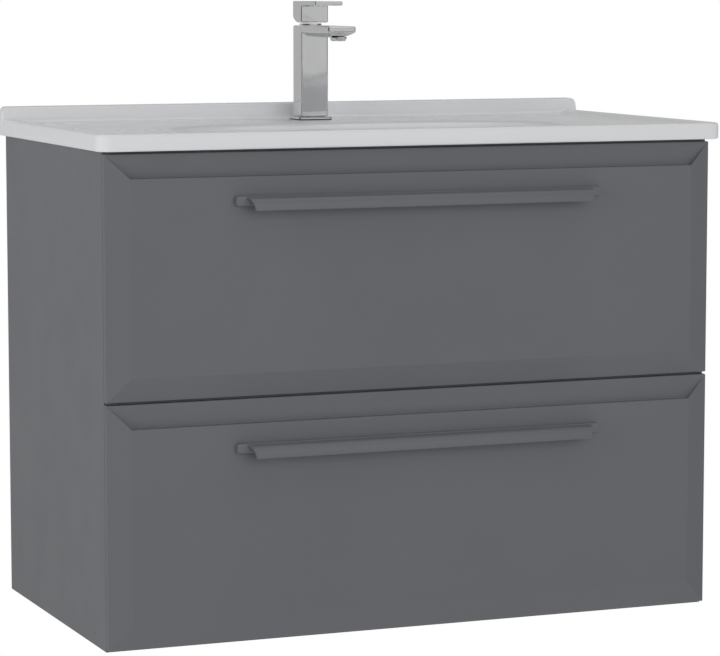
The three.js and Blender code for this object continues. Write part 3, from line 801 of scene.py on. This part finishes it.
def trap_head():
    low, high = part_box("trap_head")
    collar = high.z - 0.016
    turned_piece("trap_head_fine", [
        (0.026, low.z), (0.030, low.z), (0.030, collar - 0.003), (0.027, collar), (0.024, collar + 0.002),
        (0.024, high.z - 0.0015), (0.0225, high.z), (0.0163, high.z), (0.0163, high.z - 0.005),
        (0.022, high.z - 0.008), (0.026, high.z - 0.014)],
        AT_DRAIN, "cabinet", "white_plastic", "trap_head",
        turns=192, ribs=(20, 0.0016, collar + 0.0015, high.z - 0.001))


def along_arm():
    """Turns a lathe piece so that its +Z runs along +Y on the axis of the trap's arm."""
    low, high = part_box("trap_arm")
    centre = Matrix.Translation((0, 0, (low.z + high.z) / 2))
    return centre @ Matrix.Rotation(-math.pi / 2, 4, "X")


def trap_outlet_nut():
    """The nut that joins the arm to the trap's head."""
    start = DRAIN_Y + 0.0285
    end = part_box("trap_head")[1].y
    turned_piece("trap_outlet_nut", [
        (0.0163, start), (0.0185, start), (0.0185, start + 0.002), (0.0205, start + 0.0025),
        (0.0205, end - 0.001), (0.0195, end), (0.0163, end)],
        along_arm(), "cabinet", "white_plastic",
        turns=160, ribs=(18, 0.0014, start + 0.0022, end - 0.0005))


def trap_cup():
    low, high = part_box("trap_cup")
    turned_piece("trap_cup_fine", [
        (0, low.z), (0.0235, low.z), (0.0255, low.z + 0.0006), (0.0300, low.z + 0.0035),
        (0.0315, low.z + 0.007), (0.0318, high.z - 0.0185), (0.0335, high.z - 0.0175),
        (0.0335, high.z - 0.001), (0.0328, high.z), (0.0304, high.z), (0.0304, high.z - 0.0153),
        (0.026, high.z - 0.0153), (0.026, low.z + 0.008), (0.020, low.z + 0.004), (0, low.z + 0.004)],
        AT_DRAIN, "cabinet", "white_plastic", "trap_cup",
        turns=216, ribs=(24, 0.0018, high.z - 0.0174, high.z - 0.0009))


def trap_arm():
    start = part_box("trap_arm")[0].y
    turned_piece("trap_arm_fine", [
        (0.0135, start), (0.016, start), (0.016, -0.0005), (0.0155, 0), (0.014, 0), (0.0135, -0.0005)],
        along_arm(), "cabinet", "white_plastic", "trap_arm")


def wall_flange():
    """A bell-shaped rose that hides the hole in the wall."""
    low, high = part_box("wall_flange")
    turned_piece("wall_flange_fine", [
        (0.0163, low.y), (0.0190, low.y), (0.0200, low.y + 0.0006), (0.0215, low.y + 0.0030),
        (0.0250, low.y + 0.0060), (0.0300, low.y + 0.0078), (0.0340, low.y + 0.0088),
        (0.0350, low.y + 0.0098), (0.0350, high.y), (0.0163, high.y)],
        along_arm(), "cabinet", "chrome", "wall_flange")


def make_drain_and_trap():
    drain_flange()
    drain_plug()
    drain_nut()
    drain_tailpiece()
    trap_head()
    trap_outlet_nut()
    trap_cup()
    trap_arm()
    wall_flange()


# ---------------------------------------------------------------- tap

AT_TAP = Matrix.Translation((0, TAP_Y, 0))
COLUMN_FRONT_Y = TAP_Y - 15.5 * MM
SEAL_THICK = 1.0 * MM
SPOUT_THICK = 8.3 * MM
LEVER_THICK = 5.7 * MM
BODY_ROUND = 2.6 * MM
LEVER_ROUND = 2.2 * MM
# The lever's curved back: the radius of its curve, and how far in front of the column's axis it starts.
LEVER_SWEEP = 24.2 * MM
LEVER_SWEEP_START = 2 * MM
# The spout's belly: distance back from the tip and depth, in mm.
BELLY_STATIONS = (
    (1.2, 0.6), (2.5, 2.6), (4.5, 4.4), (7.5, 5.5), (12, 5.8), (34, 6.0), (50, 6.7), (66, 7.0), (96, 7.0),
)
BELLY_STEPS = 24


def spout_belly(half, tip_y, under_z):
    """The boat-shaped underside of the spout: steep at the tip, then slowly deeper to the column."""
    across = [-math.cos(math.pi * i / BELLY_STEPS) for i in range(BELLY_STEPS + 1)]
    inside_z = under_z + 0.6 * MM
    rings = []
    for back, depth in smooth_levels(BELLY_STATIONS, 4):
        y = tip_y + back * MM
        ring = [(half * x, y, under_z - depth * MM * (1 - x * x) ** 0.75) for x in across]
        rings.append([*ring, (half, y, inside_z), (-half, y, inside_z)])
    return loft("tap_spout_belly", rings)


def base_loft(name, low, high, levels):
    """A level piece with the outline of the base plate, from pairs of inset in mm and height."""
    rings = []
    for inset, z in levels:
        d = inset * MM
        rings.append(rounded_ring(low.x + d, high.x - d, low.y + d, high.y - d, 5 * MM - d, z))
    base = loft(name, rings)
    shade(base)
    return base


def tap_base():
    """The base plate with its soft upper edge, and the rubber gasket under it, made near black as a painted
    contact shadow.
    """
    low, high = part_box("tap_base_plate")
    seal_top = low.z + SEAL_THICK
    plate = base_loft("tap_base_fine", low, high, (
        (0.3, seal_top), (0, seal_top + 0.3 * MM), (0, high.z - 1.6 * MM),
        (0.5, high.z - 0.6 * MM), (1.6, high.z)))
    finish(plate, "cabinet", "chrome", "tap_base_plate")
    # A real gasket under the plate. Its near-black colour paints the thin contact-shadow line there.
    gasket_and_shadow = base_loft("tap_base_gasket_and_painted_shadow", low, high, ((0.6, low.z), (0.6, seal_top)))
    finish(gasket_and_shadow, "cabinet", "grey_plastic")
    dress(gasket_and_shadow, "seal_rubber_and_painted_shadow")


def tap_body():
    """The square column and the flat spout as one casting, and the belly of the spout."""
    low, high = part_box("tap_body")
    spout_low = high.z - SPOUT_THICK
    outline = [(high.y, low.z), (high.y, high.z), (low.y, high.z), (low.y, spout_low),
               (COLUMN_FRONT_Y, spout_low), (COLUMN_FRONT_Y, low.z)]
    body = extrude_x("tap_body_fine", outline, -high.x, high.x)
    soften(body, BODY_ROUND, 6)
    finish(body, "cabinet", "chrome", "tap_body")
    belly = spout_belly(high.x - 1.2 * MM, low.y, spout_low)
    shade(belly, 50)
    finish(belly, "cabinet", "chrome")


def tap_aerator():
    low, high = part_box("tap_aerator")
    turned_piece("tap_aerator_fine", [
        (0, low.z + 0.0018), (0.0066, low.z + 0.0018), (0.0068, low.z + 0.0002), (0.0072, low.z),
        (0.0086, low.z), (0.0092, low.z + 0.0004), (0.0108, high.z - 0.0016), (0.011, high.z - 0.0012),
        (0.011, high.z), (0, high.z)],
        Matrix.Translation((0, (low.y + high.y) / 2, 0)), "cabinet", "chrome", "tap_aerator")


def tap_cartridge():
    low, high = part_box("tap_cartridge")
    turned_piece("tap_cartridge_fine", [
        (0, low.z), (0.0142, low.z), (0.0145, low.z + 0.0003), (0.0145, high.z - 0.0003),
        (0.0142, high.z), (0, high.z)],
        AT_TAP, "tap_cartridge", "chrome", "tap_cartridge")


def tap_lever():
    """A block with a curved back on top of the column, and the flat plate that the hand lifts."""
    low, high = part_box("tap_lever")
    plate_low = high.z - LEVER_THICK
    sweep_y = TAP_Y - LEVER_SWEEP_START
    end = -math.acos((high.y - sweep_y) / LEVER_SWEEP)
    arc = [(sweep_y + LEVER_SWEEP * math.cos(a), low.z + LEVER_SWEEP + LEVER_SWEEP * math.sin(a))
           for a in np.linspace(-math.pi / 2, end, 12)]
    outline = [(high.y, high.z), (low.y, high.z), (low.y, plate_low), (COLUMN_FRONT_Y, plate_low),
               (COLUMN_FRONT_Y, low.z), *arc]
    lever = extrude_x("tap_lever_fine", outline, -high.x, high.x)
    soften(lever, LEVER_ROUND, 6)
    finish(lever, "tap_lever", "chrome", "tap_lever")


def make_tap():
    tap_base()
    tap_body()
    tap_aerator()
    tap_cartridge()
    tap_lever()


# ---------------------------------------------------------------- handles

BAR_DEPTH = 6.7 * MM
BAR_HEIGHT = 11.5 * MM
# The lip: how far below the bar's top it starts, its thickness, and how deep it sits in the bar.
LIP_START = 1.2 * MM
LIP_THICK = 2.2 * MM
LIP_ROOT = 1.5 * MM
# Half the lip's length, and how much of it is lost at its front and at its lower edge, in mm.
LIP_HALF, FRONT_TAPER, LOWER_TAPER = 226, 2.5, 4.5


def full_quarter(root_y, low_z, reach, drop, steps=16):
    """One quarter of an oval with full corners, from its top out to its front."""
    angles = [math.pi / 2 * i / steps for i in range(steps + 1)]
    return [(root_y - reach * math.sin(a) ** (2 / 3), low_z + drop * max(0.0, math.cos(a)) ** (2 / 3))
            for a in angles]


def handle_bar(level):
    """A slim bar with rounded ends and a soft front edge."""
    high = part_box(f"{level}_handle")[1]
    half, front, bar_low = high.x, high.y - BAR_DEPTH, high.z - BAR_HEIGHT
    levels = ((0, high.y, 2.6), (0, front + 1.3 * MM, 2.6), (0.4, front + 0.4 * MM, 2.2), (1.3, front, 1.3))
    rings = []
    for inward, y, radius in levels:
        d = inward * MM
        ring = rounded_ring(-half + d, half - d, bar_low + d, high.z - d, radius * MM, y)
        rings.append([(x, depth, z) for x, z, depth in ring])
    bar = loft(f"{level}_handle_bar", rings)
    shade(bar, 50)
    finish(bar, f"{level}_drawer", "handle_paint", f"{level}_handle")


def handle_lip(level):
    """The curved lip that the fingers pull. Its ends taper to the front and downwards."""
    low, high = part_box(f"{level}_handle")
    front, top = high.y - BAR_DEPTH, high.z - LIP_START
    reach, drop = front - low.y, top - low.z
    outer = full_quarter(front, low.z, reach, drop)
    inner = full_quarter(front, low.z, reach - LIP_THICK, drop - LIP_THICK)
    root = front + LIP_ROOT
    section = [(root, top), *outer, *inner[::-1], (root, top - LIP_THICK)]
    rings = []
    for sign in (-1, 1):
        ring = []
        for y, z in section:
            taper = FRONT_TAPER * max(0, front - y) / reach + LOWER_TAPER * (top - z) / drop
            ring.append((sign * (LIP_HALF - taper) * MM, y, z))
        rings.append(ring)
    lip = loft(f"{level}_handle_lip", rings)
    soften(lip, 0.45 * MM)
    finish(lip, f"{level}_drawer", "handle_paint")


# ---------------------------------------------------------------- carried panels and steel

def carry(node, look, width):
    """Keeps a CAD node, rounds its edges by width and gives it a material."""
    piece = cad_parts[node]
    weld = piece.modifiers.new("weld", "WELD")
    weld.merge_threshold = 0.01 * MM
    planar = piece.modifiers.new("planar", "DECIMATE")
    planar.decimate_type = "DISSOLVE"
    planar.angle_limit = math.radians(0.5)
    ease_edges(piece, width)
    dress(piece, look)


def make_carried():
    grey = ("left_side_panel", "right_side_panel", "bottom_panel", "front_top_rail", "front_middle_rail")
    for node in grey:
        carry(node, "grey_lacquer", 0.5 * MM)
    for level in LEVELS:
        carry(f"{level}_drawer_front", "grey_lacquer", 1.0 * MM)
        carry(f"{level}_drawer_bottom", "melamine_board", 0.4 * MM)
        for side in SIDES:
            carry(f"{level}_drawer_{side}_side", "melamine_board_along_y", 0.4 * MM)
            carry(f"{level}_{side}_bracket", "zinc_steel", 0.4 * MM)
            for member in ("fixed", "middle", "slide"):
                carry(f"{level}_{side}_runner_{member}", "zinc_steel", 0.3 * MM)
    for side in SIDES:
        carry(f"upper_drawer_{side}_back", "melamine_board", 0.4 * MM)
        carry(f"{side}_wall_hanger", "zinc_steel", 0.6 * MM)
        carry(f"{side}_wall_plate", "zinc_steel", 0.4 * MM)
    for node in ("upper_back_rail", "lower_back_rail", "lower_drawer_back"):
        carry(node, "melamine_board", 0.4 * MM)
    carry("upper_drawer_trap_liner", "grey_plastic", 0.8 * MM)
    carry("tap_shank", "zinc_steel", 0.4 * MM)
    carry("tap_lock_nut", "zinc_steel", 0.6 * MM)


make_camera()
make_light()
make_stage()
make_basin()
make_drain_and_trap()
make_tap()
for drawer_level in LEVELS:
    handle_bar(drawer_level)
    handle_lip(drawer_level)
make_carried()

bpy.context.scene.view_settings.view_transform = "Standard"
